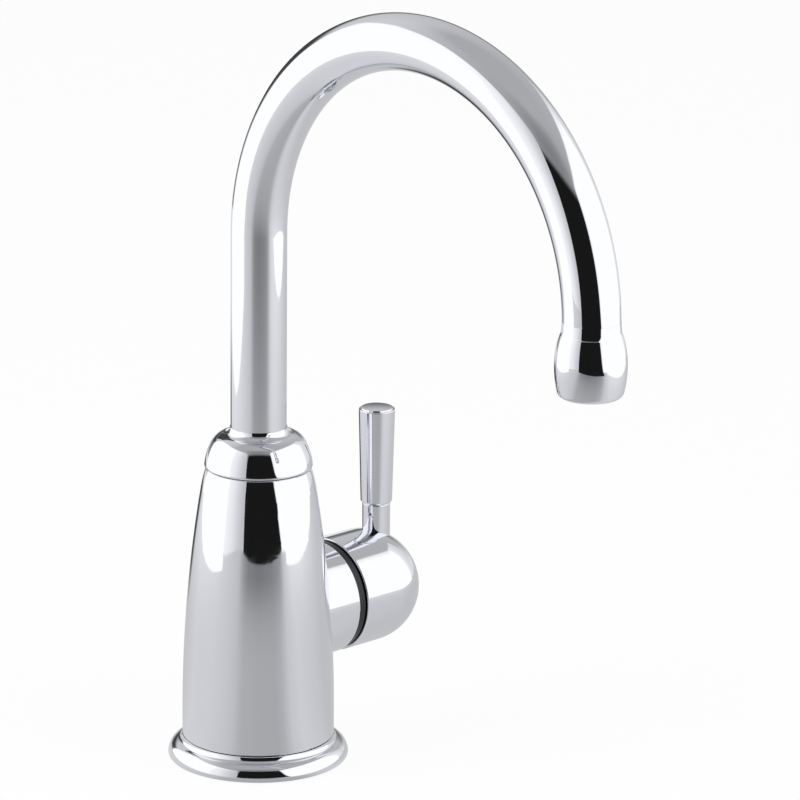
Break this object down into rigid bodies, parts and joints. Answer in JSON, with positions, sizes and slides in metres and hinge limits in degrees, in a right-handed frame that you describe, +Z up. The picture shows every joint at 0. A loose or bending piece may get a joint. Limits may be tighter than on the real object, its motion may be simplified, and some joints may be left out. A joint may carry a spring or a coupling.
{
  "type": "cold water dispenser faucet",
  "caption": "Deck-mounted cold water dispenser faucet with a tapered body, a swivelling high-arch spout, an aerated nozzle and a side lever that opens its valve with a quarter turn.",
  "frame": {"origin": "centre of the base ring's underside, on the deck and on the axis of the mounting hole", "axes": "+Z up along the body and the riser; the spout reaches along -Y; the valve and its handle lie along +X"},
  "size_m": [0.0836, 0.1675, 0.3133],
  "materials": {
    "chrome_plate": "mirror-polished chrome plate on brass",
    "brass": "machined brass",
    "stainless_steel": "plain stainless steel",
    "black_rubber": "moulded rubber",
    "black_plastic": "black moulded plastic",
    "grey_plastic": "grey moulded plastic",
    "white_acetal": "white acetal",
    "white_ceramic": "lapped alumina ceramic"
  },
  "bodies": {
    "base": {"base_ring": "chrome_plate", "base_gasket": "black_rubber", "faucet_body": "chrome_plate", "threaded_shank": "brass", "shank_seal": "black_rubber", "inlet_nipple": "brass", "glide_washer": "white_acetal", "cartridge_body": "grey_plastic", "cartridge_seal": "black_rubber", "fixed_disc": "white_ceramic", "cartridge_nut": "brass", "spacer_ring": "black_plastic"},
    "spout": {"spout_dome": "chrome_plate", "spout_pivot": "brass", "spout_o_rings": "black_rubber", "snap_ring": "stainless_steel", "spout_tube": "chrome_plate", "nozzle_housing": "chrome_plate", "aerator_washer": "black_rubber", "aerator_insert": "grey_plastic", "aerator_screen": "stainless_steel"},
    "handle": {"cartridge_stem": "brass", "moving_disc": "white_ceramic", "stem_o_ring": "black_rubber", "handle_hub": "chrome_plate", "lever_stem": "chrome_plate", "lever_grip": "chrome_plate", "handle_set_screw": "stainless_steel"},
    "clamp": {"deck_washer": "black_rubber", "clamp_washer": "stainless_steel"},
    "nut": {"mounting_nut": "brass"}
  },
  "joints": [
    {"name": "spout_swivel", "type": "hinge", "parent": "base", "child": "spout", "pos_m": [0, 0, 0.0871], "axis": [0, 0, 1], "continuous": true},
    {"name": "handle_turn", "type": "hinge", "parent": "base", "child": "handle", "pos_m": [0.0279, 0, 0.0422], "axis": [1, 0, 0], "range_deg": [0, 90]},
    {"name": "clamp_slide", "type": "slide", "parent": "base", "child": "clamp", "axis": [0, 0, 1], "range_m": [-0.0241, 0.0171]},
    {"name": "nut_turn", "type": "hinge", "parent": "clamp", "child": "nut", "pos_m": [0, 0, -0.0295], "axis": [0, 0, 1], "range_deg": [-5760, 4080]}
  ],
  "couplings": [
    {"joint": "clamp_slide", "follows": "nut_turn", "m_per_rad": 0.00023873}
  ]
}
